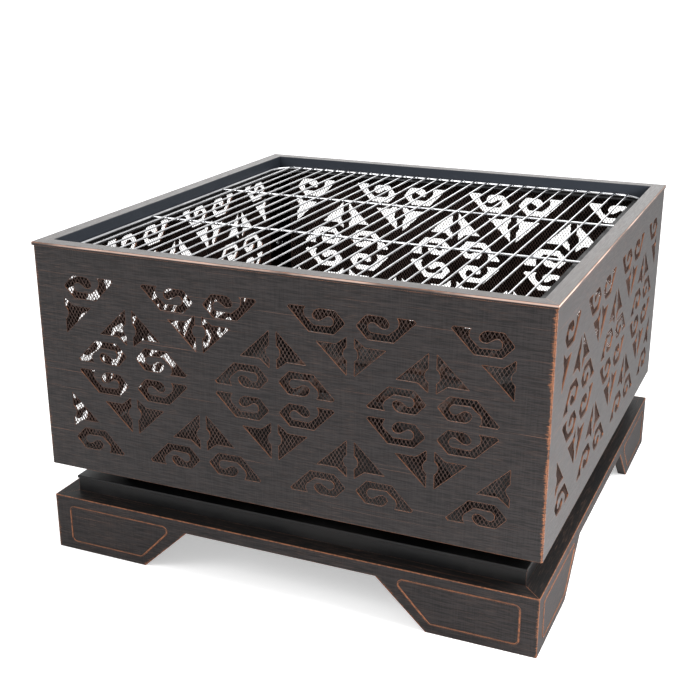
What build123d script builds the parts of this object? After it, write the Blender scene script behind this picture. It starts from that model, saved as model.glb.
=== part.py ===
from build123d import *
import math
import os

# A square fire pit: a drum of four pierced sheet panels with mesh behind them, a folded rim with a ledge
# that holds a lift-out wire cooking grate, a shallow fire bowl with a log grate, and a stepped stand on
# four bracket feet. Millimetres. The origin is on the floor under the middle, +Z is up, the front faces -Y.

# overall sizes and levels
WIDTH = 660.0            # over the rim, both ways
HEIGHT = 422.0           # floor to the top of the rim
DRUM_BOTTOM = 123.0
PLINTH_TOP = 99.0
BASE_TOP = 77.0

# sheet thicknesses
SHEET = 1.5              # panels, stand and riser
RIM_SHEET = 1.2
BOWL_SHEET = 1.2
SCREEN_THICK = 1.0

PAST = 5.0                                  # how far a cutting shape runs past what it cuts

# rim
RIM_WIDTH = 20.0
RIM_HEM = 4.5            # how far the outer edge turns down over the panels
SKIRT_DROP = 19.5        # rim top to the top of the grate ledge
LEDGE_REACH = 20.0       # how far the ledge runs in past the skirt

# drum panels
PANEL_FACE = WIDTH / 2 - RIM_SHEET          # outer face of each panel, from the middle
CORNER_FLANGE = 24.0                        # length of the 45 degree joining flange
CORNER_BEND = 0.8
FLOOR_FLANGE = 39.0                         # width of the flange folded in at the drum's bottom edge

# cut-out pattern
COLUMN_PITCH = 97.6
ROW_PITCH = 120.9
PATTERN_MIDDLE = 269.1                      # level of the row of whole medallions
BAR_HALF = 5.0                              # half the width of the bars between cut-outs
DISC_RADIUS = 9.5
DISC_CENTRE = 54.7                          # from the medallion's middle

# mesh screens
SCREEN_WIDTH = 600.0
SCREEN_BOTTOM, SCREEN_TOP = 138.0, 398.0

# stand
BASE_FACE = 329.0
APRON_UNDER = 60.5
ARCH_TOP_HALF, ARCH_FOOT_HALF = 129.5, 194.0
BASE_RETURN = 12.0                          # depth of the turned-in edges
SHELF_WIDTH = 40.0
BEAD_RADIUS, BEAD_DEPTH, BEAD_BEND = 1.1, 0.25, 6.5      # depth: its centre line under the face
CORNER_ANGLE_LEG = 40.0
PLINTH_FACE = 307.7
PLINTH_LIP, PLINTH_LIP_DROP = 1.2, 4.0
PLINTH_FLANGE = 20.0
RISER_FACE = 263.0
RISER_TOP_FLANGE, RISER_FOOT_FLANGE = 42.0, 30.0

# fire bowl
BOWL_FLOOR_HALF, BOWL_TOP_HALF = 285.0, 308.0
BOWL_DEPTH = 20.0
BOWL_LIP_HALF = 313.0
FLOOR_CORNER, TOP_CORNER, LIP_CORNER = 25.0, 32.0, 36.0     # radii seen from above
BOWL_CORNER_WALL = 1.0                      # how much smaller the hollow's radii are
RIB_LENGTH, RIB_FOOT, RIB_RISE, RIB_TAPER = 680.0, 48.0, 21.2, 26.0
RIB_WALL = 1.32                             # the sheet's width at a rib's foot, measured level

# cooking grate
GRATE_SIZE = 617.0
FRAME_WIRE, ROD_WIRE, CROSS_WIRE = 5.0, 2.5, 3.5
GRATE_CORNER = 40.0                         # radius of the frame wire's centre line
ROD_PITCH, ROD_COUNT = 20.0, 29
CROSS_OFFSET = 100.0
REST_GAP = 0.3                              # clearance under parts that only rest in place

# log grate
LOG_BAR = 10.0
LOG_BAR_LENGTH, LOG_BAR_PITCH, LOG_BAR_COUNT = 300.0, 50.0, 6
LOG_HEIGHT = 46.0                           # bowl floor to the axis of the cross bars
LOG_SPREAD, LOG_CROSS_OFFSET, LOG_BEND = 145.0, 60.0, 16.0

# M5 fasteners
SHANK, CLEARANCE_HOLE = 2.5, 2.7            # radii
HOLE_LENGTH = 10.0
HEAD_RADIUS, HEAD_HEIGHT, HEAD_ROUNDING = 4.5, 3.0, 1.2
SOCKET_ACROSS, SOCKET_DEPTH = 3.0, 1.6
NUT_ACROSS, NUT_HEIGHT, NUT_BORE = 8.0, 4.0, 2.55
THREAD_SHOWS = 1.5
CORNER_BOLT_IN = 15.0                       # along the flange from the drum's corner
CORNER_BOLT_LEVELS = (175.0, 270.0, 365.0)
DRUM_SCREW_LINE, DRUM_SCREW_SPREAD = 298.0, (-200.0, 0.0, 200.0)
RISER_SCREW_LINE, RISER_SCREW_SPREAD = 248.0, (-150.0, 150.0)
PLINTH_SCREW_LINE, PLINTH_SCREW_SPREAD = 297.0, (-220.0, 220.0)

SIDES = {"front": 0, "right": 90, "rear": 180, "left": 270}     # turn about Z from the front


def turned(shape, angle):
    return Rot(Z=angle) * shape


def save(name, *solids):
    """Writes one node, as one solid or as a group of separate solids."""
    node = solids[0] if len(solids) == 1 else Compound(children=list(solids))
    node.label = name
    export_step(node, f"parts/{name}.step")


def save_sides(name, piece, place="{side}_{name}"):
    """Writes the four turned copies of a piece made for the front."""
    for side, angle in SIDES.items():
        save(place.format(side=side, name=name), turned(piece, angle))


def plate(outline, low, high):
    """A flat plate with an (x, y) outline, between two levels."""
    face = make_face(Polyline(*outline, close=True))
    return extrude(Pos(0, 0, low) * face, amount=high - low)


def mitre_sector():
    """The front quarter of the plan, which cuts a front rail's ends at 45 degrees."""
    reach = WIDTH / 2 + PAST
    return plate([(0, 0), (-reach, -reach), (reach, -reach)], -1, HEIGHT + 1)


def rail(outline, rounded=()):
    """A front rail: its (y, z) section run along X and mitred at both corners."""
    section = make_face(Polyline(*outline, close=True))
    for corner, radius in rounded:
        nearest = section.vertices().sort_by_distance(Vector(*corner))[0]
        section = section.face().fillet_2d(radius, [nearest])
    return extrude(Plane.YZ * section, amount=WIDTH / 2 + PAST, both=True) & mitre_sector()


# ---------------------------------------------------------------- fasteners

def screw(grip):
    """A pan head screw along -Z, its head standing on z = 0 and its nut below the grip."""
    head = Pos(0, 0, HEAD_HEIGHT / 2) * Cylinder(HEAD_RADIUS, HEAD_HEIGHT)
    head = fillet(head.edges().group_by(Axis.Z)[-1], HEAD_ROUNDING)
    socket = RegularPolygon(SOCKET_ACROSS / 2, 6, major_radius=False)
    head -= extrude(Pos(0, 0, HEAD_HEIGHT) * socket, amount=-SOCKET_DEPTH)
    length = grip + NUT_HEIGHT + THREAD_SHOWS
    return head + Pos(0, 0, -length / 2) * Cylinder(SHANK, length)


def nut(grip):
    """The hexagon nut of screw(grip)."""
    hexagon = RegularPolygon(NUT_ACROSS / 2, 6, major_radius=False) - Circle(NUT_BORE)
    return extrude(Pos(0, 0, -grip - NUT_HEIGHT) * hexagon, amount=NUT_HEIGHT)


def side_points(line, spread, level):
    """Places for fasteners with vertical axes, the same on all four sides."""
    return [turned(Pos(x, -line, level), angle) for angle in SIDES.values() for x in spread]


def corner_bolt_places():
    """The corner bolts run square to the flanges, which meet on the drum's diagonals."""
    inset = CORNER_BOLT_IN / math.sqrt(2)
    x = PANEL_FACE - inset
    places = []
    for angle in SIDES.values():
        for level in CORNER_BOLT_LEVELS:
            axis = Plane(origin=(x, -x, level), x_dir=(0, 0, 1), z_dir=(-1, -1, 0))
            places.append(Rot(Z=angle) * axis.location * Pos(0, 0, SHEET))
    return places


def fastened(name, places, grip, screws="screws"):
    save(f"{name}_{screws}", *[place * screw(grip) for place in places])
    save(f"{name}_nuts", *[place * nut(grip) for place in places])


def holes(places):
    """Clearance holes, long enough for the two sheets of a joint and no more."""
    return [place * Cylinder(CLEARANCE_HOLE, HOLE_LENGTH) for place in places]


# ---------------------------------------------------------------- cut-out pattern

def scroll():
    """The scroll of a medallion's upper right quarter: a band that turns back on itself."""
    band = Polyline((55.5, 5.2), (75.5, 5.2), (77.5, 8.0), (51.5, 34.3), (20.5, 34.3), (7.6, 20.8),
                    (7.6, 18.4), (17.0, 8.2))
    inner_bend = ThreePointArc((17.0, 8.2), (18.8, 6.4), (21.5, 5.8))
    return_edge = Line((21.5, 5.8), (35.5, 5.8))
    round_end = Wire([
        ThreePointArc((35.5, 5.8), (43.6, 9.0), (46.3, 14.0)).edge(),
        ThreePointArc((46.3, 14.0), (44.6, 18.0), (40.5, 19.5)).edge(),
        ThreePointArc((40.5, 19.5), (38.0, 19.4), (35.8, 18.4)).edge(),
    ])
    throat = Line((35.8, 18.4), (30.5, 15.0))
    tongue_tip = ThreePointArc((30.5, 15.0), (20.4, 19.2), (27.5, 25.6))
    tongue_top = Polyline((27.5, 25.6), (45.3, 26.2), (54.0, 18.8))
    tongue_side = ThreePointArc((54.0, 18.8), (57.9, 12.4), (55.5, 5.2))
    edges = [band, inner_bend, return_edge, round_end, throat, tongue_tip, tongue_top, tongue_side]
    return make_face([edge for group in edges for edge in group.edges()])


def spearhead():
    """The pierced triangle above a scroll, bitten by the disc on the medallion's upright bar."""
    tip, shoulder, notch, foot = (BAR_HALF, 80.5), (42.5, 44.7), (17.5, 44.7), (BAR_HALF, 35.0)
    triangle = make_face(Polyline(tip, shoulder, notch, foot, close=True))
    return triangle - Pos(0, DISC_CENTRE) * Circle(DISC_RADIUS)


def quarter(right, up):
    """One quarter of a medallion, for the sides right = 1 or -1 and up = 1 or -1."""
    shapes = [scroll(), spearhead()]
    if right < 0:
        shapes = [mirror(shape, about=Plane.YZ) for shape in shapes]
    if up < 0:
        shapes = [mirror(shape, about=Plane.XZ) for shape in shapes]
    return shapes


def pattern_faces():
    """Three whole medallions, two halves above and below them, and a quarter at each corner."""
    quarters = {(right, up): quarter(right, up) for right in (-1, 1) for up in (-1, 1)}
    faces = []
    for column in range(-3, 4):
        whole = column % 2 == 0
        for right in (-1, 1):
            if abs(column) == 3 and right * column > 0:
                continue
            for up in (-1, 1):
                level = PATTERN_MIDDLE if whole else PATTERN_MIDDLE - up * ROW_PITCH
                faces += [Pos(column * COLUMN_PITCH, level) * shape for shape in quarters[right, up]]
    return faces


# ---------------------------------------------------------------- drum

def panel_plan():
    """Plan of the front panel: a flat sheet whose ends turn in along the diagonals."""
    out = PANEL_FACE
    run = CORNER_FLANGE / math.sqrt(2)
    step = SHEET / math.sqrt(2)
    crook = SHEET * (1 + math.sqrt(2))
    right = [(out, -out), (out - run, run - out), (out - run - step, run - out - step),
             (out - crook, SHEET - out)]
    left = [(-x, y) for x, y in reversed(right)]
    plan = make_face(Polyline(*right, *left, close=True))
    for x in (-out, out):
        corner = plan.vertices().sort_by_distance(Vector(x, -out))[0]
        plan = plan.face().fillet_2d(CORNER_BEND, [corner])
    return plan


def drum_panel(bolt_holes, screw_holes):
    """The front panel, pierced, with its corner flanges and its floor flange."""
    height = HEIGHT - RIM_SHEET - DRUM_BOTTOM
    sheet = extrude(Pos(0, 0, DRUM_BOTTOM) * panel_plan(), amount=height)
    piercing = Plane.XZ.offset(PANEL_FACE - SHEET - 1)
    for face in pattern_faces():
        sheet -= extrude(piercing * face, amount=SHEET + 2, dir=(0, -1, 0))
    out, inner = PANEL_FACE - SHEET / 2, PANEL_FACE - FLOOR_FLANGE
    flange = plate([(-out, -out), (out, -out), (inner, -inner), (-inner, -inner)],
                   DRUM_BOTTOM, DRUM_BOTTOM + SHEET)
    return (sheet + flange) - bolt_holes - screw_holes


def mesh_screen():
    back = PANEL_FACE - SHEET
    middle = (SCREEN_BOTTOM + SCREEN_TOP) / 2
    return Pos(0, -back + SCREEN_THICK / 2, middle) * Box(
        SCREEN_WIDTH, SCREEN_THICK, SCREEN_TOP - SCREEN_BOTTOM)


def rim_rail():
    """The rim's section: a hem outside the panels, a flat top and a skirt inside."""
    out, t = WIDTH / 2, RIM_SHEET
    inner = out - RIM_WIDTH
    low = HEIGHT - SKIRT_DROP
    outline = [(-out, HEIGHT - RIM_HEM), (-out, HEIGHT), (-inner, HEIGHT), (-inner, low),
               (-inner - t, low), (-inner - t, HEIGHT - t), (-out + t, HEIGHT - t),
               (-out + t, HEIGHT - RIM_HEM)]
    return rail(outline, [((-out, HEIGHT), 1.1), ((-inner, HEIGHT), 1.1)])


def grate_ledge():
    outer = WIDTH / 2 - RIM_WIDTH + RIM_SHEET
    inner = WIDTH / 2 - RIM_WIDTH - LEDGE_REACH
    top = HEIGHT - SKIRT_DROP
    return rail([(-outer, top - RIM_SHEET), (-outer, top), (-inner, top), (-inner, top - RIM_SHEET)])


# ---------------------------------------------------------------- fire bowl

def rounded_square(half, radius, level):
    return Pos(0, 0, level) * RectangleRounded(2 * half, 2 * half, radius)


def rib(angle, inset):
    """One diagonal rib of the bowl's floor, or with an inset the hollow under it."""
    foot = Rectangle(RIB_LENGTH - 2 * inset, RIB_FOOT - 2 * inset)
    rise = RIB_RISE - BOWL_SHEET if inset else RIB_RISE
    return extrude(Pos(0, 0, DRUM_BOTTOM) * turned(foot, angle), amount=rise, taper=RIB_TAPER)


def fire_bowl():
    floor, top = DRUM_BOTTOM, DRUM_BOTTOM + BOWL_DEPTH
    slope = (BOWL_TOP_HALF - BOWL_FLOOR_HALF) / BOWL_DEPTH
    wall = BOWL_SHEET * math.hypot(1, slope)                 # the sheet's width, measured level
    outer = loft([rounded_square(BOWL_FLOOR_HALF, FLOOR_CORNER, floor).face(),
                  rounded_square(BOWL_TOP_HALF, TOP_CORNER, top).face()])
    low_half = BOWL_FLOOR_HALF + BOWL_SHEET * slope - wall
    inner = loft([rounded_square(low_half, FLOOR_CORNER - BOWL_CORNER_WALL, floor + BOWL_SHEET).face(),
                  rounded_square(BOWL_TOP_HALF - wall, TOP_CORNER - BOWL_CORNER_WALL, top).face()])
    lip = extrude(rounded_square(BOWL_LIP_HALF, LIP_CORNER, top - BOWL_SHEET), amount=BOWL_SHEET)
    bowl = outer + lip - inner
    for angle in (45, 135):
        bowl += rib(angle, 0)
    for angle in (45, 135):
        bowl -= rib(angle, RIB_WALL)
    return bowl


# ---------------------------------------------------------------- stand

def riser_rail(drum_holes, foot_holes):
    """Black channel between the plinth and the drum, set well back so the drum seems to float."""
    web, t = RISER_FACE, SHEET
    outline = [(-web + RISER_FOOT_FLANGE, PLINTH_TOP), (-web, PLINTH_TOP), (-web, DRUM_BOTTOM - t),
               (-web - RISER_TOP_FLANGE, DRUM_BOTTOM - t), (-web - RISER_TOP_FLANGE, DRUM_BOTTOM),
               (-web + t, DRUM_BOTTOM), (-web + t, PLINTH_TOP + t),
               (-web + RISER_FOOT_FLANGE, PLINTH_TOP + t)]
    return rail(outline) - drum_holes - foot_holes


def plinth_tray(riser_holes, shelf_holes):
    """Pressed tray that stands on the stand's shelf and shields it from the fire bowl."""
    face = PLINTH_FACE - PLINTH_LIP
    height = PLINTH_TOP - BASE_TOP
    body = Pos(0, 0, BASE_TOP + height / 2) * Box(2 * face, 2 * face, height)
    lip = Pos(0, 0, PLINTH_TOP - PLINTH_LIP_DROP / 2) * Box(2 * PLINTH_FACE, 2 * PLINTH_FACE, PLINTH_LIP_DROP)
    lip = fillet(lip.edges().filter_by(Axis.Z, reverse=True), 1.0)
    inside = 2 * (face - SHEET)
    hollow = Pos(0, 0, BASE_TOP + height / 2) * Box(inside, inside, height - 2 * SHEET)
    mouth_side = inside - 2 * PLINTH_FLANGE
    mouth = Pos(0, 0, BASE_TOP) * Box(mouth_side, mouth_side, 4 * SHEET)
    return body + lip - hollow - mouth - riser_holes - shelf_holes


def base_outline(reach):
    """Front view of one side of the stand: two bracket feet joined by an apron."""
    half = [(ARCH_TOP_HALF, APRON_UNDER), (ARCH_FOOT_HALF, 0), (reach, 0), (reach, BASE_TOP)]
    return half + [(-x, z) for x, z in reversed(half)]


def foot_bead():
    """Centre line of the pressed ridge on a right foot: a trapezoid that follows its outline."""
    corners = [(307.0, 12.0), (307.0, 63.0), (150.0, 63.0), (199.0, 12.0)]
    outline = make_face(Polyline(*corners, close=True))
    return fillet(outline.vertices(), BEAD_BEND).face().outer_wire()


def base_side(shelf_holes):
    """One side of the stand, its edges turned in, with the shelf folded from its top edge."""
    view = Plane.XZ.offset(BASE_FACE)
    reach = BASE_FACE + PAST
    outline = make_face(Polyline(*base_outline(reach), close=True))
    void = offset(make_face(Polyline(*base_outline(reach + PAST), close=True)), amount=-SHEET,
                  kind=Kind.INTERSECTION).face()
    block = extrude(view * outline, amount=-BASE_RETURN)
    hollow = extrude(view.offset(-SHEET) * void, amount=-BASE_RETURN)
    side = block - hollow
    back = BASE_FACE - SHELF_WIDTH
    side += plate([(-BASE_FACE, -BASE_FACE), (BASE_FACE, -BASE_FACE), (back, -back), (-back, -back)],
                  BASE_TOP - SHEET, BASE_TOP)
    for line in (foot_bead(), mirror(foot_bead(), about=Plane.YZ)):
        path = (view.offset(-BEAD_DEPTH) * line).wire()
        start = Plane(origin=path @ 0, z_dir=path % 0)
        side += sweep(start * Circle(BEAD_RADIUS), path=path)
    return (side & mitre_sector()) - shelf_holes


def base_corner():
    """Angle that joins two sides of the stand inside a foot."""
    out, leg = BASE_FACE - SHEET, CORNER_ANGLE_LEG
    back = out - SHEET
    outline = [(out, -out), (out, leg - out), (back, leg - out), (back, -back), (out - leg, -back),
               (out - leg, -out)]
    return plate(outline, SHEET, BASE_TOP - SHEET)


# ---------------------------------------------------------------- grates

FRAME_LEVEL = HEIGHT - SKIRT_DROP + REST_GAP + FRAME_WIRE / 2
ROD_LEVEL = FRAME_LEVEL + (FRAME_WIRE + ROD_WIRE) / 2
CROSS_LEVEL = ROD_LEVEL - (ROD_WIRE + CROSS_WIRE) / 2
LOG_CROSS_LEVEL = DRUM_BOTTOM + BOWL_SHEET + REST_GAP + LOG_HEIGHT
LOG_BAR_LEVEL = LOG_CROSS_LEVEL + LOG_BAR


def wire(diameter, length, axis):
    """A straight wire centred on the origin, along "X" or "Y"."""
    turn = Rot(Y=90) if axis == "X" else Rot(X=90)
    return turn * Cylinder(diameter / 2, length)


def grate_frame():
    centre_line = GRATE_SIZE - FRAME_WIRE
    loop = (Pos(0, 0, FRAME_LEVEL) * RectangleRounded(centre_line, centre_line, GRATE_CORNER)).wire()
    start = Plane(origin=loop @ 0, z_dir=loop % 0)
    return sweep(start * Circle(FRAME_WIRE / 2), path=loop)


def grate_rods():
    """Rods lie across the frame and end at its outer edge, which curves in near the corners."""
    half = (GRATE_SIZE - FRAME_WIRE) / 2
    straight = half - GRATE_CORNER
    rods = []
    for index in range(ROD_COUNT):
        x = (index - (ROD_COUNT - 1) / 2) * ROD_PITCH
        past_straight = max(0.0, abs(x) - straight)
        end = straight + math.sqrt(GRATE_CORNER ** 2 - past_straight ** 2) + FRAME_WIRE / 2
        rods.append(Pos(x, 0, ROD_LEVEL) * wire(ROD_WIRE, 2 * end, "Y"))
    return rods


def grate_cross_rods():
    length = GRATE_SIZE - 2 * FRAME_WIRE - 0.2
    return [Pos(0, y, CROSS_LEVEL) * wire(CROSS_WIRE, length, "X") for y in (-CROSS_OFFSET, CROSS_OFFSET)]


def log_grate_bars():
    bars = []
    for index in range(LOG_BAR_COUNT):
        x = (index - (LOG_BAR_COUNT - 1) / 2) * LOG_BAR_PITCH
        bars.append(Pos(x, 0, LOG_BAR_LEVEL) * wire(LOG_BAR, LOG_BAR_LENGTH, "Y"))
    return bars


def log_grate_legs():
    """Two cross bars, each bent down at both ends into a pair of legs."""
    foot = DRUM_BOTTOM + BOWL_SHEET + REST_GAP
    legs = []
    for y in (-LOG_CROSS_OFFSET, LOG_CROSS_OFFSET):
        path = FilletPolyline((-LOG_SPREAD, y, foot), (-LOG_SPREAD, y, LOG_CROSS_LEVEL),
                              (LOG_SPREAD, y, LOG_CROSS_LEVEL), (LOG_SPREAD, y, foot), radius=LOG_BEND)
        start = Plane(origin=path @ 0, z_dir=path % 0)
        legs.append(sweep(start * Circle(LOG_BAR / 2), path=path))
    return legs


def main():
    os.makedirs("parts", exist_ok=True)
    corner_places = corner_bolt_places()
    drum_places = side_points(DRUM_SCREW_LINE, DRUM_SCREW_SPREAD, DRUM_BOTTOM + SHEET)
    riser_places = side_points(RISER_SCREW_LINE, RISER_SCREW_SPREAD, PLINTH_TOP + SHEET)
    shelf_places = [place * Rot(X=180) for place in
                    side_points(PLINTH_SCREW_LINE, PLINTH_SCREW_SPREAD, BASE_TOP - SHEET)]

    save_sides("panel", drum_panel(holes(corner_places), holes(drum_places)))
    save_sides("mesh_screen", mesh_screen())
    save_sides("rim_rail", rim_rail())
    save_sides("grate_ledge", grate_ledge())
    save_sides("base_side", base_side(holes(shelf_places)))
    save_sides("riser_rail", riser_rail(holes(drum_places), holes(riser_places)))
    for name, angle in {"front_right": 0, "rear_right": 90, "rear_left": 180, "front_left": 270}.items():
        save(f"{name}_base_corner", turned(base_corner(), angle))
    save("plinth_tray", plinth_tray(holes(riser_places), holes(shelf_places)))
    save("fire_bowl", fire_bowl())

    fastened("corner", corner_places, 2 * SHEET, "bolts")
    fastened("drum", drum_places, 2 * SHEET)
    fastened("riser", riser_places, 2 * SHEET)
    fastened("plinth", shelf_places, 2 * SHEET)

    save("grate_frame", grate_frame())
    save("grate_rods", *grate_rods())
    save("grate_cross_rods", *grate_cross_rods())
    save("log_grate_bars", *log_grate_bars())
    save("log_grate_legs", *log_grate_legs())


main()
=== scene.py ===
import math

import bpy
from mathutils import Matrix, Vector


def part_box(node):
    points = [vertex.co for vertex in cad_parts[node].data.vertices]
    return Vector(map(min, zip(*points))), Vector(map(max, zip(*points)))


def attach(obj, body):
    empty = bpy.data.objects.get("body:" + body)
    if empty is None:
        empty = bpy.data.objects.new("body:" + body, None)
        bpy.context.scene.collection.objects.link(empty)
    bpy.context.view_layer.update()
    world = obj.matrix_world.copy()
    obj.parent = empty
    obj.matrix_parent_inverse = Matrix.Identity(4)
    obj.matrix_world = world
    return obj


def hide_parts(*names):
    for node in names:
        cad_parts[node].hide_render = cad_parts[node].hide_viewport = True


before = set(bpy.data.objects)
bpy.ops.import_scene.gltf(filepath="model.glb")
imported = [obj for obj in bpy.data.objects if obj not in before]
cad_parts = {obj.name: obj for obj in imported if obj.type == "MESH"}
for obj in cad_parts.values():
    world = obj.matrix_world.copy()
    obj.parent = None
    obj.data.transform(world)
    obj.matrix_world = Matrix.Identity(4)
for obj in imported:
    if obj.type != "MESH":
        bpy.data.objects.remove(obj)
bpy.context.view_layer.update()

# Looks for a square fire pit: rubbed bronze sheet outside, black inside, expanded mesh behind the
# pierced panels, bright wire cooking grate, black enamel fire bowl. Metres, in the CAD's own frame.

SIDES = {"front": 0.0, "right": 90.0, "rear": 180.0, "left": 270.0}   # turn about Z from the front
BRUSH_X, BRUSH_Y = (46.0, 900.0, 900.0), (900.0, 46.0, 900.0)         # dashes per metre
CROSSWISE = (620.0, 620.0, 30.0)
SCRATCH_X, SCRATCH_Y = (4.5, 1100.0, 1100.0), (1100.0, 4.5, 1100.0)
FACE_Y, FACE_X = (0.0, 1.0, 0.0), (1.0, 0.0, 0.0)

# Where the finish is rubbed through, and (HEM) where a pale highlight is painted on the rim's rolled edge.
# OUT is a distance from the middle, LEVEL a height over the floor; a pair in brackets is where the wear or
# highlight begins and where it is full.
FOOT_TOE, FOOT_LEAN, FOOT_TOP = 0.194, 1.066, 0.0605   # the stand's foot: its slanted edge
FOOT_FADE = 0.0005
FOOT_OUT = (0.3272, 0.3282)
BEAD_LOW, BEAD_HIGH = 0.0145, 0.0605                   # the pressed bead's two ends
BEAD_FADE = 0.004
BEAD_LEAST = 0.12
BEAD_OUT = (0.32925, 0.32970)
BRIM_LEVEL, BRIM_OUT = (0.0752, 0.0766), (0.3279, 0.3287)
# the rim's rolled edge, where a pale highlight is painted
HEM_BOTTOM_LEVEL, HEM_TOP_LEVEL = (0.4194, 0.4202), (0.4219, 0.4213)
HEM_INSET = (0.0014, 0.0009)                           # in from the rim's outer face
FOOT_REACH, CORNER_REACH = 0.008, 0.0065               # how far copper strokes reach in from an edge

# shares and amounts in the brushed finish
ALONG_SHARE, CROSSWISE_SHARE = 0.76, 0.24
DASH_SHARE, SCRATCH_SHARE = 0.5, 0.7
BAND_HEIGHT, GRAIN_HEIGHT = 0.7, 0.3
ROUGHNESS_SPREAD, TOP_POLISH = 0.08, 0.10
COPPER_METAL = 0.6

# colours, as linear light
BRONZE_DARK = (0.0095, 0.0080, 0.0084, 1)
BRONZE_LIGHT = (0.0330, 0.0278, 0.0280, 1)
BRONZE_DASH = (0.120, 0.070, 0.052, 1)
# painted sheen: level tops drawn lighter than the upright sides, as they catch the light
BRONZE_TOP_SHEEN = (0.060, 0.054, 0.051, 1)
COPPER = (0.36, 0.150, 0.078, 1)
# painted highlight: the pale line along the rim's rolled edge
COPPER_PALE_HIGHLIGHT = (0.66, 0.46, 0.38, 1)
COPPER_DULL = (0.200, 0.100, 0.068, 1)
INNER_BLACK = (0.0030, 0.0030, 0.0032, 1)
# painted light: the rim skirt's inner face, drawn lighter and bluer than the black inside below the grate,
# as lit from the front
SKIRT_LIT_BLUE = (0.030, 0.036, 0.047, 1)
# painted shade: the stand's level shelf, which lies in the drum's shadow
SHELF_SHADE_BLACK = (0.0050, 0.0045, 0.0045, 1)
SATIN_BLACK = (0.0050, 0.0050, 0.0055, 1)
SOOT_GREY = (0.0150, 0.0140, 0.0140, 1)
ENAMEL_BLACK = (0.0020, 0.0020, 0.0024, 1)
BOWL_SOOT = (0.0075, 0.0068, 0.0066, 1)
MESH_BROWN = (0.090, 0.054, 0.044, 1)
MESH_DARK = (0.036, 0.022, 0.018, 1)
CHROME = (0.86, 0.87, 0.89, 1)
CHROME_DULL = (0.52, 0.52, 0.54, 1)
ZINC_LIGHT = (0.62, 0.63, 0.65, 1)
ZINC_DARK = (0.40, 0.41, 0.43, 1)
IRON_BLACK = (0.020, 0.019, 0.019, 1)
IRON_RUST = (0.095, 0.042, 0.024, 1)
FLOOR_WHITE = (0.92, 0.92, 0.92, 1)


# ---------------------------------------------------------------- node trees

def add(tree, kind, inputs=None, **settings):
    """Adds a shader node. An input is a value, or the output socket that feeds it."""
    node = tree.nodes.new("ShaderNode" + kind)
    for name, value in settings.items():
        setattr(node, name, value)
    for key, value in (inputs or {}).items():
        if isinstance(value, bpy.types.NodeSocket):
            tree.links.new(value, node.inputs[key])
        else:
            node.inputs[key].default_value = value
    return node


def calc(tree, operation, first, second=0.0):
    """One step of arithmetic on single values."""
    return add(tree, "Math", {0: first, 1: second}, operation=operation).outputs[0]


def ramp(tree, value, low, high, start=0.0, end=1.0):
    """Value turned smoothly from start at low to end at high."""
    inputs = {"Value": value, "From Min": low, "From Max": high, "To Min": start, "To Max": end}
    return add(tree, "MapRange", inputs, interpolation_type="SMOOTHSTEP").outputs["Result"]


def blend(tree, share, first, second):
    """Two colours mixed by a share from 0 to 1."""
    return add(tree, "Mix", {0: share, 6: first, 7: second}, data_type="RGBA").outputs[2]


def noise(tree, place, scale, detail=3.0, roughness=0.55):
    """Cloudy values around a half; the scale says how fine, in clouds to the metre."""
    inputs = {"Vector": place, "Scale": scale, "Detail": detail, "Roughness": roughness}
    return add(tree, "TexNoise", inputs).outputs["Fac"]


def stretched(tree, place, scale):
    """A place scaled by a different amount along each axis."""
    return add(tree, "VectorMath", {0: place, 1: scale}, operation="MULTIPLY").outputs[0]


def new_group(name, inputs, outputs):
    """An empty node group. Returns its tree, the sockets coming in and the sockets going out."""
    tree = bpy.data.node_groups.new(name, "ShaderNodeTree")
    for label, kind, value in inputs:
        socket = tree.interface.new_socket(label, in_out="INPUT", socket_type="NodeSocket" + kind)
        socket.default_value = value
    for label in outputs:
        tree.interface.new_socket(label, in_out="OUTPUT", socket_type="NodeSocketFloat")
    return tree, tree.nodes.new("NodeGroupInput").outputs, tree.nodes.new("NodeGroupOutput").inputs


def use(tree, group, **inputs):
    """Places a group in a material and returns its output sockets."""
    named = {key.replace("_", " "): value for key, value in inputs.items()}
    return add(tree, "Group", named, node_tree=group).outputs


def object_place(tree):
    return add(tree, "TexCoord").outputs["Object"]


# ---------------------------------------------------------------- effects shared by the materials

def brushing_group():
    """Marks of a brush drawn along one direction: short dashes, soft bands and a few long scratches."""
    inputs = [("Brush", "Vector", BRUSH_X), ("Scratch", "Vector", SCRATCH_X)]
    tree, given, out = new_group("brushing", inputs, ["Dashes", "Bands", "Scratches"])
    place = object_place(tree)
    brushed = stretched(tree, place, given["Brush"])
    dashes = ramp(tree, noise(tree, brushed, 1.0, 3.0, 0.6), 0.50, 0.74)
    patches = ramp(tree, noise(tree, place, 9.0, 3.0), 0.36, 0.66, 0.25, 1.0)
    crosswise = noise(tree, stretched(tree, place, CROSSWISE), 1.0, 2.0)
    bands = calc(tree, "ADD", calc(tree, "MULTIPLY", noise(tree, brushed, 0.9, 3.0, 0.65), ALONG_SHARE),
                 calc(tree, "MULTIPLY", crosswise, CROSSWISE_SHARE))
    scratches = noise(tree, stretched(tree, place, given["Scratch"]), 1.0, 2.0)
    tree.links.new(calc(tree, "MULTIPLY", dashes, patches), out["Dashes"])
    tree.links.new(ramp(tree, bands, 0.38, 0.62), out["Bands"])
    tree.links.new(ramp(tree, scratches, 0.68, 0.76), out["Scratches"])
    return tree


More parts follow.
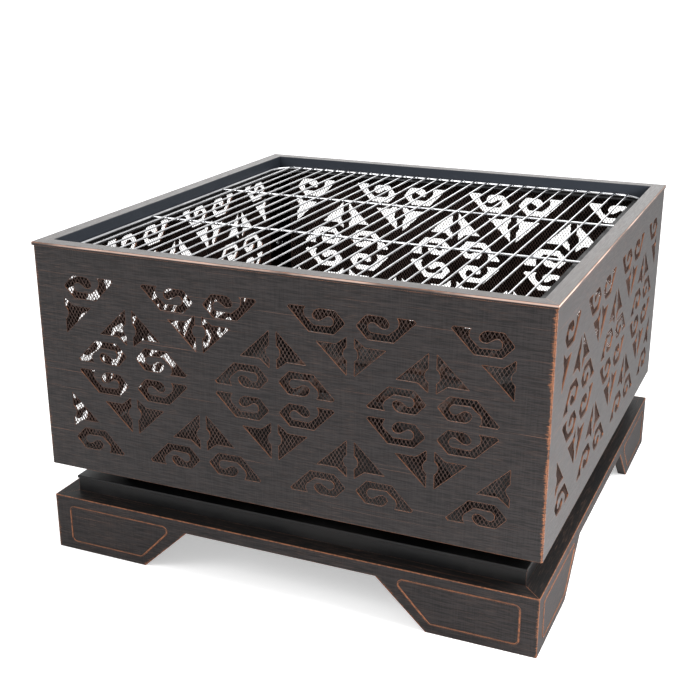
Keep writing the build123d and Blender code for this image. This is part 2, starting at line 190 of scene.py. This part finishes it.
def worn_edge_group():
    """Sheet edges where the finish has rubbed through, broken up along the edge."""
    inputs = [("Width", "Float", 0.001), ("Breakup", "Float", 0.4), ("Patch Size", "Float", 140.0)]
    tree, given, out = new_group("worn edges", inputs, ["Mask"])
    soft = add(tree, "Bevel", {"Radius": given["Width"]}, samples=6).outputs["Normal"]
    sharp = add(tree, "NewGeometry").outputs["Normal"]
    turn = add(tree, "VectorMath", {0: soft, 1: sharp}, operation="DOT_PRODUCT").outputs["Value"]
    edge = ramp(tree, calc(tree, "SUBTRACT", 1.0, turn), 0.015, 0.14)
    patches = ramp(tree, noise(tree, object_place(tree), given["Patch Size"], 4.0), 0.36, 0.58)
    kept = calc(tree, "SUBTRACT", 1.0, calc(tree, "MULTIPLY", given["Breakup"],
                                            calc(tree, "SUBTRACT", 1.0, patches)))
    tree.links.new(calc(tree, "MULTIPLY", edge, kept), out["Mask"])
    return tree


def rub_group():
    """Strokes of bare copper that reach in from an edge, given how far the surface is from that edge."""
    inputs = [("Distance", "Float", 0.0), ("Reach", "Float", 0.008)]
    tree, given, out = new_group("rubbed strokes", inputs, ["Mask"])
    place = object_place(tree)
    strokes = noise(tree, stretched(tree, place, (60.0, 60.0, 900.0)), 1.0, 3.0, 0.75)
    patches = noise(tree, place, 34.0, 3.0)
    length = calc(tree, "MULTIPLY", ramp(tree, strokes, 0.36, 0.72, 0.12, 1.0),
                  ramp(tree, patches, 0.32, 0.66, 0.30, 1.0))
    reach = calc(tree, "MULTIPLY", given["Reach"], length)
    share = calc(tree, "DIVIDE", calc(tree, "ABSOLUTE", given["Distance"]), reach)
    bare = ramp(tree, share, 1.15, 0.35)
    speckle = ramp(tree, noise(tree, place, 620.0, 3.0, 0.7), 0.40, 0.58, 0.35, 1.0)
    tree.links.new(calc(tree, "MULTIPLY", bare, speckle), out["Mask"])
    return tree


def handling_group():
    """How much a place is knocked and handled: most at the front right corner."""
    tree, given, out = new_group("handling", [("Least", "Float", 0.4)], ["Mask"])
    apart = add(tree, "SeparateXYZ", {0: object_place(tree)}).outputs
    towards = calc(tree, "SUBTRACT", apart["X"], apart["Y"])
    tree.links.new(ramp(tree, towards, -0.2, 0.6, given["Least"], 1.0), out["Mask"])
    return tree


def facing_out_group():
    """0 where a sheet's surface looks in at the pit's middle, 1 everywhere else."""
    tree, given, out = new_group("facing out", [("Side", "Vector", FACE_Y)], ["Mask"])
    normal = add(tree, "NewGeometry").outputs["Normal"]
    signed = add(tree, "VectorMath", {0: object_place(tree)}, operation="SIGN").outputs[0]
    outward = add(tree, "VectorMath", {0: signed, 1: given["Side"]}, operation="MULTIPLY").outputs[0]
    look = add(tree, "VectorMath", {0: outward, 1: normal}, operation="DOT_PRODUCT").outputs["Value"]
    tree.links.new(ramp(tree, look, -0.6, -0.3), out["Mask"])
    return tree


def facing_up_group():
    """1 on level surfaces that look up, 0 on upright ones."""
    tree, given, out = new_group("facing up", [("Steepest", "Float", 0.55)], ["Mask"])
    normal = add(tree, "NewGeometry").outputs["Normal"]
    height = add(tree, "SeparateXYZ", {0: normal}).outputs["Z"]
    tree.links.new(ramp(tree, height, given["Steepest"], 0.95), out["Mask"])
    return tree


def rounded_edge_group():
    """Folded edges between a level top and an upright side, worn in patches."""
    tree, given, out = new_group("rounded edge", [("Patch Size", "Float", 70.0)], ["Mask"])
    normal = add(tree, "NewGeometry").outputs["Normal"]
    height = ramp(tree, add(tree, "SeparateXYZ", {0: normal}).outputs["Z"], 0.12, 0.98)
    between = calc(tree, "MULTIPLY", calc(tree, "MULTIPLY", height, 4.0),
                   calc(tree, "SUBTRACT", 1.0, height))
    patches = ramp(tree, noise(tree, object_place(tree), given["Patch Size"], 4.0), 0.36, 0.58, 0.45, 1.0)
    tree.links.new(calc(tree, "MULTIPLY", between, patches), out["Mask"])
    return tree


def paint_grain_group():
    """The fine pebbling of sprayed paint, and slow waves in the sheet under it."""
    inputs = [("Grain Size", "Float", 1500.0), ("Wave Size", "Float", 9.0)]
    tree, given, out = new_group("paint grain", inputs, ["Grain", "Waves"])
    place = object_place(tree)
    tree.links.new(noise(tree, place, given["Grain Size"], 2.0), out["Grain"])
    tree.links.new(noise(tree, place, given["Wave Size"], 2.0), out["Waves"])
    return tree


def smudge_group():
    """Soft patches of soot, dust and handling."""
    tree, given, out = new_group("smudges", [("Patch Size", "Float", 14.0)], ["Mask"])
    patches = noise(tree, object_place(tree), given["Patch Size"], 5.0, 0.62)
    tree.links.new(ramp(tree, patches, 0.40, 0.72), out["Mask"])
    return tree


BRUSHING = brushing_group()
WORN_EDGE = worn_edge_group()
RUBBED = rub_group()
HANDLING = handling_group()
FACING_OUT = facing_out_group()
FACING_UP = facing_up_group()
ROUNDED_EDGE = rounded_edge_group()
PAINT_GRAIN = paint_grain_group()
SMUDGES = smudge_group()


# ---------------------------------------------------------------- materials

def new_material(name):
    material = bpy.data.materials.new(name)
    material.use_nodes = True
    return material, material.node_tree, material.node_tree.nodes["Principled BSDF"]


def fixed(shader, **values):
    """Shader values that are the same all over the surface."""
    for name, value in values.items():
        shader.inputs[name.replace("_", " ")].default_value = value


def feed(tree, shader, **sockets):
    for name, socket in sockets.items():
        tree.links.new(socket, shader.inputs[name.replace("_", " ")])


def bumped(tree, height, distance):
    """A normal disturbed by a height from 0 to 1, given how many metres a height of 1 stands for."""
    inputs = {"Height": height, "Distance": distance, "Strength": 1.0}
    return add(tree, "Bump", inputs).outputs["Normal"]


def sides_of(tree):
    """Distance out from the middle, distance along the side, and level."""
    apart = add(tree, "SeparateXYZ", {0: object_place(tree)}).outputs
    x, y = calc(tree, "ABSOLUTE", apart["X"]), calc(tree, "ABSOLUTE", apart["Y"])
    return calc(tree, "MAXIMUM", x, y), calc(tree, "MINIMUM", x, y), apart["Z"]


def foot_wear(tree, out, along, level):
    """Copper on the stand's own lines: the foot's slanted edge and the crest of its pressed bead."""
    toe = calc(tree, "SUBTRACT", FOOT_TOE, calc(tree, "MULTIPLY", level, FOOT_LEAN))
    slant = use(tree, RUBBED, Distance=calc(tree, "SUBTRACT", along, toe), Reach=FOOT_REACH)["Mask"]
    slant = calc(tree, "MULTIPLY", slant, ramp(tree, level, FOOT_TOP + FOOT_FADE, FOOT_TOP - FOOT_FADE))
    slant = calc(tree, "MULTIPLY", slant, ramp(tree, out, *FOOT_OUT))
    crest = ramp(tree, out, *BEAD_OUT)
    upright = calc(tree, "MULTIPLY", ramp(tree, level, BEAD_LOW, BEAD_LOW + BEAD_FADE, BEAD_LEAST, 1.0),
                   ramp(tree, level, BEAD_HIGH - BEAD_FADE, BEAD_HIGH, 1.0, BEAD_LEAST))
    flecks = ramp(tree, noise(tree, object_place(tree), 260.0, 4.0), 0.38, 0.56, 0.30, 1.0)
    bead = calc(tree, "MULTIPLY", calc(tree, "MULTIPLY", crest, upright), flecks)
    brim = calc(tree, "MULTIPLY", ramp(tree, level, *BRIM_LEVEL), ramp(tree, out, *BRIM_OUT))
    brim = calc(tree, "MULTIPLY", brim, flecks)
    return calc(tree, "MAXIMUM", slant, calc(tree, "MAXIMUM", bead, brim))


def hem_highlight(tree, half, out, level):
    """A pale highlight painted along the rim's rolled edge, in long patches."""
    begin, full = HEM_INSET
    band = calc(tree, "MULTIPLY", ramp(tree, level, *HEM_BOTTOM_LEVEL), ramp(tree, level, *HEM_TOP_LEVEL))
    band = calc(tree, "MULTIPLY", band, ramp(tree, out, half - begin, half - full))
    patches = ramp(tree, noise(tree, object_place(tree), 11.0, 5.0), 0.34, 0.60, 0.15, 0.9)
    return calc(tree, "MULTIPLY", band, patches)


def rubbed_bronze(piece, run, brush, scratch, side, half, top, inner, matt, roughest):
    """Dark bronze paint, brushed along the sheet, rubbed through to copper at its edges and corners."""
    material, tree, shader = new_material(f"rubbed bronze {piece} along {run}")
    marks = use(tree, BRUSHING, Brush=brush, Scratch=scratch)
    paint = use(tree, PAINT_GRAIN)
    outside = use(tree, FACING_OUT, Side=side)["Mask"]
    upward = use(tree, FACING_UP)["Mask"]
    handled = use(tree, HANDLING)["Mask"]
    edges = use(tree, WORN_EDGE, Width=0.0010, Breakup=0.55)["Mask"]
    out, along, level = sides_of(tree)
    corner = use(tree, RUBBED, Distance=calc(tree, "SUBTRACT", half, along), Reach=CORNER_REACH)["Mask"]
    worn = calc(tree, "MULTIPLY", calc(tree, "MAXIMUM", edges, corner), handled)
    rounding = use(tree, ROUNDED_EDGE)["Mask"]
    worn = calc(tree, "MAXIMUM", worn, rounding)
    if piece == "base_side":
        worn = calc(tree, "MAXIMUM", worn, foot_wear(tree, out, along, level))
    worn = calc(tree, "MULTIPLY", worn, outside)
    colour = blend(tree, marks["Bands"], BRONZE_DARK, BRONZE_LIGHT)
    # painted light and shade on level tops: a lighter sheen on the drum and rim tops, black shade on the
    # stand's shelf
    colour = blend(tree, upward, colour, top)
    colour = blend(tree, calc(tree, "MULTIPLY", marks["Dashes"], DASH_SHARE), colour, BRONZE_DASH)
    colour = blend(tree, calc(tree, "MULTIPLY", marks["Scratches"], SCRATCH_SHARE), colour, COPPER_DULL)
    # inner faces are black paint; the rim skirt's inner face takes a lighter, bluish painted light instead
    colour = blend(tree, outside, inner, colour)
    colour = blend(tree, worn, colour, COPPER)
    # black taken as metal has next to no gloss, which keeps the inner faces dark
    matt_inside = calc(tree, "MULTIPLY", calc(tree, "SUBTRACT", 1.0, outside), matt)
    # a pale highlight painted along the rim's rolled edge
    if piece == "rim_rail":
        colour = blend(tree, hem_highlight(tree, half, out, level), colour, COPPER_PALE_HIGHLIGHT)
    height = calc(tree, "ADD", calc(tree, "MULTIPLY", marks["Bands"], BAND_HEIGHT),
                  calc(tree, "MULTIPLY", paint["Grain"], GRAIN_HEIGHT))
    smoothest = roughest - ROUGHNESS_SPREAD
    roughness = calc(tree, "SUBTRACT", ramp(tree, marks["Bands"], 0.0, 1.0, smoothest, roughest),
                     calc(tree, "MULTIPLY", upward, TOP_POLISH))
    metal = calc(tree, "MAXIMUM", calc(tree, "MULTIPLY", worn, COPPER_METAL), matt_inside)
    feed(tree, shader, Base_Color=colour, Roughness=roughness, Metallic=metal,
         Normal=bumped(tree, height, 0.00005))
    fixed(shader, IOR=1.5, Specular_IOR_Level=0.30)
    return material


def plinth_bronze():
    """The tray's darker paint, worn along its rolled edge."""
    material, tree, shader = new_material("plinth bronze")
    paint = use(tree, PAINT_GRAIN)
    edges = use(tree, WORN_EDGE, Width=0.0010, Breakup=0.8, Patch_Size=60.0)["Mask"]
    soot = use(tree, SMUDGES, Patch_Size=9.0)["Mask"]
    colour = blend(tree, soot, SATIN_BLACK, SOOT_GREY)
    colour = blend(tree, calc(tree, "MULTIPLY", edges, 0.8), colour, COPPER_DULL)
    feed(tree, shader, Base_Color=colour, Metallic=calc(tree, "MULTIPLY", edges, 0.5),
         Roughness=ramp(tree, soot, 0.0, 1.0, 0.42, 0.6), Normal=bumped(tree, paint["Grain"], 0.00004))
    fixed(shader, Specular_IOR_Level=0.35)
    return material


def satin_black():
    """Stove paint: fine grain, with dull sooty patches."""
    material, tree, shader = new_material("satin black")
    paint = use(tree, PAINT_GRAIN, Grain_Size=1100.0)
    soot = use(tree, SMUDGES)["Mask"]
    feed(tree, shader, Base_Color=blend(tree, soot, SATIN_BLACK, SOOT_GREY),
         Roughness=ramp(tree, soot, 0.0, 1.0, 0.45, 0.66), Normal=bumped(tree, paint["Grain"], 0.00006))
    fixed(shader, Specular_IOR_Level=0.20)
    return material


def mesh_paint():
    """Thin bronze paint on the expanded mesh, darker in soft patches."""
    material, tree, shader = new_material("mesh paint")
    paint = use(tree, PAINT_GRAIN, Grain_Size=2200.0)
    patches = use(tree, SMUDGES, Patch_Size=30.0)["Mask"]
    feed(tree, shader, Base_Color=blend(tree, patches, MESH_BROWN, MESH_DARK),
         Roughness=ramp(tree, patches, 0.0, 1.0, 0.38, 0.55), Normal=bumped(tree, paint["Grain"], 0.00003))
    fixed(shader, Specular_IOR_Level=0.25)
    return material


def bowl_enamel():
    """Black enamel over pressed steel, dulled by a thin haze of soot."""
    material, tree, shader = new_material("bowl enamel")
    paint = use(tree, PAINT_GRAIN, Grain_Size=420.0, Wave_Size=11.0)
    haze = use(tree, SMUDGES, Patch_Size=8.0)["Mask"]
    height = calc(tree, "ADD", calc(tree, "MULTIPLY", paint["Waves"], 0.95),
                  calc(tree, "MULTIPLY", paint["Grain"], 0.02))
    feed(tree, shader, Base_Color=blend(tree, haze, ENAMEL_BLACK, BOWL_SOOT),
         Roughness=ramp(tree, haze, 0.0, 1.0, 0.30, 0.50), Normal=bumped(tree, height, 0.0012))
    fixed(shader, Specular_IOR_Level=0.16)
    return material


def chrome_wire():
    """Bright chromium plate with faint clouding."""
    material, tree, shader = new_material("chrome wire")
    cloud = use(tree, SMUDGES, Patch_Size=24.0)["Mask"]
    grain = use(tree, PAINT_GRAIN, Grain_Size=900.0)["Grain"]
    feed(tree, shader, Base_Color=blend(tree, cloud, CHROME, CHROME_DULL),
         Roughness=ramp(tree, cloud, 0.0, 1.0, 0.10, 0.24), Normal=bumped(tree, grain, 0.00001))
    fixed(shader, Metallic=1.0)
    return material


def zinc_plate():
    """Bright zinc on small fasteners, spangled and slightly dulled."""
    material, tree, shader = new_material("zinc plate")
    spangle = use(tree, SMUDGES, Patch_Size=420.0)["Mask"]
    grain = use(tree, PAINT_GRAIN, Grain_Size=1800.0)["Grain"]
    feed(tree, shader, Base_Color=blend(tree, spangle, ZINC_LIGHT, ZINC_DARK),
         Roughness=ramp(tree, spangle, 0.0, 1.0, 0.26, 0.42), Normal=bumped(tree, grain, 0.00002))
    fixed(shader, Metallic=1.0)
    return material


def blackened_iron():
    """Bar steel after a few fires: scaled, with brown rust blooming through."""
    material, tree, shader = new_material("blackened iron")
    rust = use(tree, SMUDGES, Patch_Size=55.0)["Mask"]
    scale = use(tree, PAINT_GRAIN, Grain_Size=520.0)["Grain"]
    feed(tree, shader, Base_Color=blend(tree, rust, IRON_BLACK, IRON_RUST),
         Roughness=ramp(tree, rust, 0.0, 1.0, 0.55, 0.85), Normal=bumped(tree, scale, 0.0003))
    fixed(shader, Metallic=0.3)
    return material


def floor_paint():
    """Pale matt floor that glows to the camera only, so that it lends the object no extra light."""
    material, tree, shader = new_material("pale floor")
    feed(tree, shader, Roughness=ramp(tree, noise(tree, object_place(tree), 3.0), 0.3, 0.7, 0.7, 0.8))
    seen = add(tree, "LightPath").outputs["Is Camera Ray"]
    tree.links.new(blend(tree, seen, (0, 0, 0, 1), FLOOR_WHITE), shader.inputs["Emission Color"])
    fixed(shader, Base_Color=FLOOR_WHITE, Emission_Strength=FLOOR_GLOW)
    return material


# ---------------------------------------------------------------- finishes on the CAD's own parts

def paint_nodes(material, names):
    """Gives CAD nodes one material all over."""
    for name in names:
        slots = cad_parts[name].data.materials
        slots.clear()
        slots.append(material)


def paint_frame():
    drum_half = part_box("front_panel")[1].x
    base_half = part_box("front_base_side")[1].x
    rim_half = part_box("front_rim_rail")[1].x
    black = satin_black()
    looks = (("panel", drum_half, BRONZE_TOP_SHEEN, INNER_BLACK, 0.9, 0.50),
             ("base_side", base_half, SHELF_SHADE_BLACK, INNER_BLACK, 0.5, 0.75),
             ("rim_rail", rim_half, BRONZE_TOP_SHEEN, SKIRT_LIT_BLUE, 0.0, 0.50))
    runs = ((("front", "rear"), "X", BRUSH_X, SCRATCH_X, FACE_Y),
            (("left", "right"), "Y", BRUSH_Y, SCRATCH_Y, FACE_X))
    for pair, run, brush, scratch, side in runs:
        for piece, half, top, inner, matt, roughest in looks:
            bronze = rubbed_bronze(piece, run, brush, scratch, side, half, top, inner, matt, roughest)
            paint_nodes(bronze, [f"{name}_{piece}" for name in pair])
    for name in SIDES:
        paint_nodes(black, [f"{name}_grate_ledge", f"{name}_riser_rail"])
    paint_nodes(black, [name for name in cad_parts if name.endswith("_base_corner")])
    paint_nodes(plinth_bronze(), ["plinth_tray"])
    paint_nodes(bowl_enamel(), ["fire_bowl"])
    paint_nodes(chrome_wire(), ["grate_frame", "grate_rods", "grate_cross_rods"])
    paint_nodes(blackened_iron(), ["log_grate_bars", "log_grate_legs"])
    paint_nodes(zinc_plate(), [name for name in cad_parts
                               if name.endswith(("_bolts", "_nuts", "_screws"))])


# ---------------------------------------------------------------- expanded mesh

CELL_WIDTH, CELL_HEIGHT = 0.0050, 0.0081
STRAND = 0.00060                      # width of a strand, face on
STRAND_THICK = 0.0005
STRAND_TILT = 0.00024                 # how far a slit's two sides are pulled apart, each way


def expanded_sheet(width, height):
    """Upright expanded metal as one closed mesh: diamond slits, their sides pulled fore and aft."""
    columns, rows = round(width / CELL_WIDTH), round(height / CELL_HEIGHT)
    last_p, last_q = 2 * columns, 2 * rows
    step_x, step_z = width / last_p, height / last_q
    shrink = 1 - STRAND / 2 * math.hypot(1 / step_x, 1 / step_z)
    points, faces, crossing = [], [], {}

    def point(x, z, depth):
        points.append((x - width / 2, depth, z - height / 2))
        return len(points) - 1

    def crossing_points(p, q):
        """Front and back point where four strands meet, shared by the cells around it."""
        if (p, q) not in crossing:
            x, z = p * step_x, q * step_z
            crossing[p, q] = (point(x, z, -STRAND_THICK / 2), point(x, z, STRAND_THICK / 2))
        return crossing[p, q]

    def ring(outer, inner):
        """The four strand halves round one slit: front, back and the slit's own walls."""
        for here in range(4):
            there = (here + 1) % 4
            (a, a_back), (b, b_back) = outer[here], outer[there]
            (c, c_back), (d, d_back) = inner[there], inner[here]
            faces.extend([(a, b, c, d), (d_back, c_back, b_back, a_back), (d, c, c_back, d_back)])

    def solid(corners):
        """A closed triangle at the sheet's rim, with a wall along its first edge, which is the rim."""
        faces.append(tuple(front for front, _ in corners))
        faces.append(tuple(back for _, back in reversed(corners)))
        (a, a_back), (b, b_back) = corners[0], corners[1]
        faces.append((b, a, a_back, b_back))

    around = ((-1, 0), (0, -1), (1, 0), (0, 1))
    for p in range(1, last_p):
        for q in range(1 + (p + 1) % 2, last_q, 2):
            outer = [crossing_points(p + right, q + up) for right, up in around]
            inner = []
            for right, up in around:
                x, z = (p + right * shrink) * step_x, (q + up * shrink) * step_z
                tilt = -right * STRAND_TILT
                inner.append((point(x, z, tilt - STRAND_THICK / 2), point(x, z, tilt + STRAND_THICK / 2)))
            ring(outer, inner)
    for q in range(2, last_q, 2):
        solid([crossing_points(*at) for at in ((0, q + 1), (0, q - 1), (1, q))])
        solid([crossing_points(*at) for at in ((last_p, q - 1), (last_p, q + 1), (last_p - 1, q))])
    for p in range(2, last_p, 2):
        solid([crossing_points(*at) for at in ((p - 1, 0), (p + 1, 0), (p, 1))])
        solid([crossing_points(*at) for at in ((p + 1, last_q), (p - 1, last_q), (p, last_q - 1))])
    ends = ((0, 0, 1, 1), (last_p, 0, -1, 1), (last_p, last_q, -1, -1), (0, last_q, 1, -1))
    for p, q, right, up in ends:
        corner = crossing_points(p, q)
        trio = [crossing_points(p, q + up), corner, crossing_points(p + right, q)]
        if right * up < 0:
            trio.reverse()
        solid(trio)
        (a, a_back), (b, b_back) = trio[1], trio[2]
        faces.append((b, a, a_back, b_back))
    mesh = bpy.data.meshes.new("expanded_sheet")
    mesh.from_pydata(points, [], faces)
    return mesh


def mesh_screens():
    """Real expanded mesh in place of the four solid stand-ins."""
    low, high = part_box("front_mesh_screen")
    sheet = expanded_sheet(high.x - low.x, high.z - low.z)
    sheet.materials.append(mesh_paint())
    back = -(low.y + high.y) / 2
    for side, angle in SIDES.items():
        turn = math.radians(angle)
        screen = bpy.data.objects.new(f"{side}_expanded_mesh", sheet)
        screen.location = (back * math.sin(turn), -back * math.cos(turn), (low.z + high.z) / 2)
        screen.rotation_euler.z = turn
        bpy.context.scene.collection.objects.link(screen)
        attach(screen, "pit")
        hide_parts(f"{side}_mesh_screen")


# ---------------------------------------------------------------- studio

CAMERA_PLACE = (0.5859, -1.4526, 0.7786)
CAMERA_TURN = (70.33, 0.0, 23.5)
LENS = 59.95
FLOOR_SIZE = 80.0
FLOOR_GLOW = 0.50
WORLD_LIGHT = 0.75
LIGHTS = {                              # place, what it points at, width, height, watts
    "key": ((-1.6, -2.2, 2.4), (0.0, 0.0, 0.3), 1.6, 1.6, 40.0),
    "behind": ((-1.2, 3.0, 1.25), (0.0, 0.0, 0.4), 3.4, 1.1, 20.0),
    "beside": ((0.80, -0.30, 0.60), (0.62, -0.20, 0.0), 0.35, 0.35, 9.0),
    "top": ((0.3, 0.8, 3.0), (0.0, 0.0, 0.3), 2.0, 2.0, 30.0),
}


def floor():
    half = FLOOR_SIZE / 2
    mesh = bpy.data.meshes.new("floor")
    mesh.from_pydata([(-half, -half, 0), (half, -half, 0), (half, half, 0), (-half, half, 0)], [],
                     [(0, 1, 2, 3)])
    mesh.materials.append(floor_paint())
    ground = bpy.data.objects.new("floor", mesh)
    bpy.context.scene.collection.objects.link(ground)


def lights():
    for name, (place, aim, width, height, watts) in LIGHTS.items():
        data = bpy.data.lights.new(name, "AREA")
        data.shape, data.size, data.size_y, data.energy = "RECTANGLE", width, height, watts
        lamp = bpy.data.objects.new(name, data)
        lamp.location = place
        lamp.rotation_euler = (Vector(place) - Vector(aim)).to_track_quat("Z", "Y").to_euler()
        lamp.visible_camera = False
        bpy.context.scene.collection.objects.link(lamp)
    world = bpy.data.worlds.new("studio")
    world.use_nodes = True
    tree, background = world.node_tree, world.node_tree.nodes["Background"]
    seen = add(tree, "LightPath").outputs["Is Camera Ray"]
    tree.links.new(ramp(tree, seen, 0.0, 1.0, WORLD_LIGHT, 1.0), background.inputs["Strength"])
    background.inputs["Color"].default_value = (1, 1, 1, 1)
    bpy.context.scene.world = world


def camera():
    data = bpy.data.cameras.new("camera")
    data.lens = LENS
    eye = bpy.data.objects.new("camera", data)
    eye.location = CAMERA_PLACE
    eye.rotation_euler = [math.radians(angle) for angle in CAMERA_TURN]
    bpy.context.scene.collection.objects.link(eye)
    bpy.context.scene.camera = eye
    bpy.context.scene.view_settings.view_transform = "Standard"


paint_frame()
mesh_screens()
floor()
lights()
camera()
